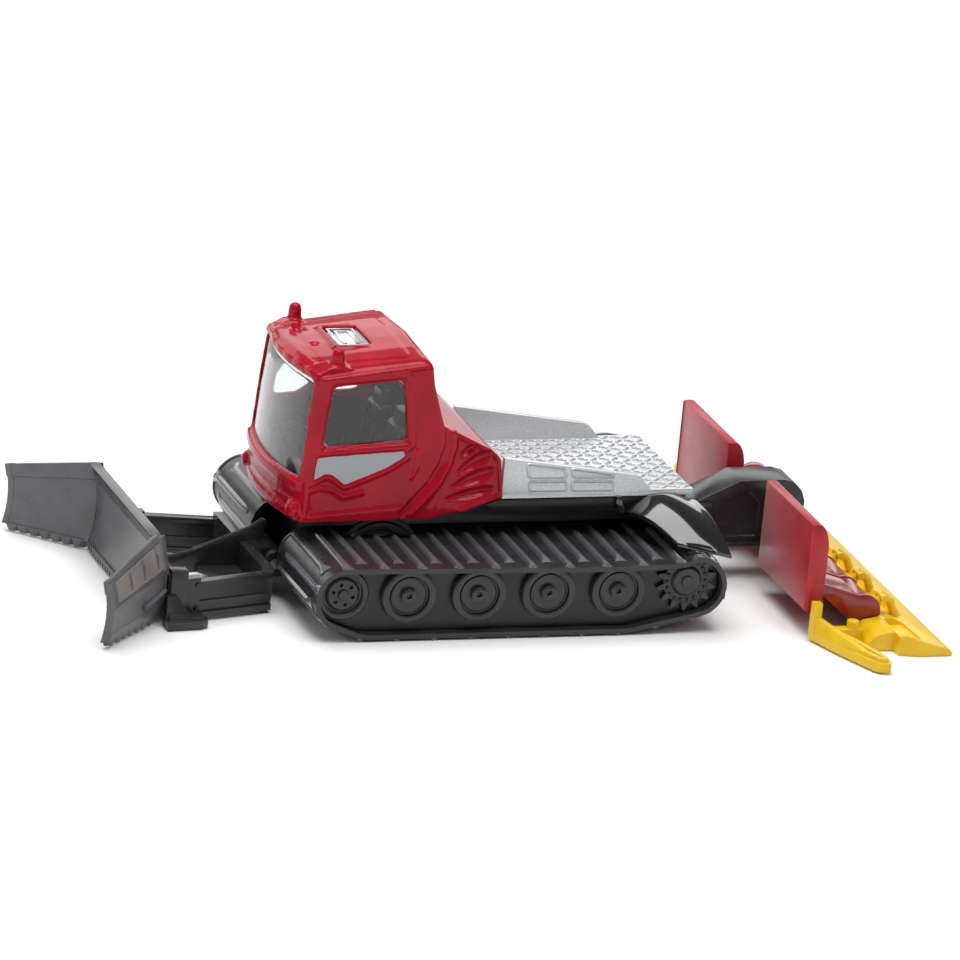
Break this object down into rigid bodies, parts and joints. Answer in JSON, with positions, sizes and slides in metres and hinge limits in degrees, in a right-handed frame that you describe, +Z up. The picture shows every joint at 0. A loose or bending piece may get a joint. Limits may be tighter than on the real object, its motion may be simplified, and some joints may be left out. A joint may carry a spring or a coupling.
{
  "type": "toy snowcat groomer",
  "caption": "Pocket-size die-cast toy piste groomer on tracks, with a glazed cab, load bed, lifting winged blade and lifting rear tiller with comb.",
  "frame": {"origin": "on the floor, under the middle of the bounding box", "axes": "+X to the blade, +Y to the vehicle's left, +Z up"},
  "size_m": [0.1114, 0.0772, 0.035],
  "materials": {
    "red_enamel": "gloss red enamel on a zinc casting",
    "silver_paint": "fine metallic silver paint on a zinc casting",
    "clear_plastic": "clear moulded styrene",
    "black_plastic": "satin black moulded plastic",
    "gloss_black": "polished black moulded plastic",
    "track_black": "satin black moulded plastic",
    "blade_grey": "satin dark grey moulded plastic",
    "red_plastic": "semi-gloss red moulded plastic",
    "yellow_plastic": "satin yellow moulded plastic",
    "steel_pin": "plain steel pin"
  },
  "bodies": {
    "chassis": {"chassis_frame": "black_plastic", "chassis_deck": "black_plastic", "cab_shell": "red_enamel", "cab_glazing": "clear_plastic", "cab_floor": "black_plastic", "seat_left": "black_plastic", "seat_right": "black_plastic", "dashboard": "black_plastic", "steering_wheel": "black_plastic", "load_bed": "silver_paint", "mudguard_left": "gloss_black", "mudguard_right": "gloss_black", "blade_pin": "steel_pin", "tiller_pin": "steel_pin", "track_left": "track_black", "track_right": "track_black", "track_frame_left": "track_black", "track_frame_right": "track_black", "idler_left": "track_black", "road_wheel_1_left": "track_black", "road_wheel_2_left": "track_black", "road_wheel_3_left": "track_black", "road_wheel_4_left": "track_black", "sprocket_left": "track_black", "idler_right": "track_black", "road_wheel_1_right": "track_black", "road_wheel_2_right": "track_black", "road_wheel_3_right": "track_black", "road_wheel_4_right": "track_black", "sprocket_right": "track_black"},
    "blade_arm": {"blade_carrier": "black_plastic", "blade_centre": "blade_grey", "blade_wing_left": "blade_grey", "blade_wing_right": "blade_grey", "skid_left": "black_plastic", "skid_right": "black_plastic"},
    "tiller": {"tiller_arm": "blade_grey", "tiller_hood_left": "red_plastic", "tiller_hood_right": "red_plastic", "drum_housing": "red_plastic", "finishing_comb": "yellow_plastic", "side_finisher_left": "yellow_plastic", "side_finisher_right": "yellow_plastic"}
  },
  "joints": [
    {"name": "blade_lift", "type": "hinge", "parent": "chassis", "child": "blade_arm", "pos_m": [0.0272, 0, 0.0046], "axis": [0, -1, 0], "range_deg": [0, 20]},
    {"name": "tiller_lift", "type": "hinge", "parent": "chassis", "child": "tiller", "pos_m": [-0.029, 0, 0.0086], "axis": [0, 1, 0], "range_deg": [0, 35]}
  ]
}
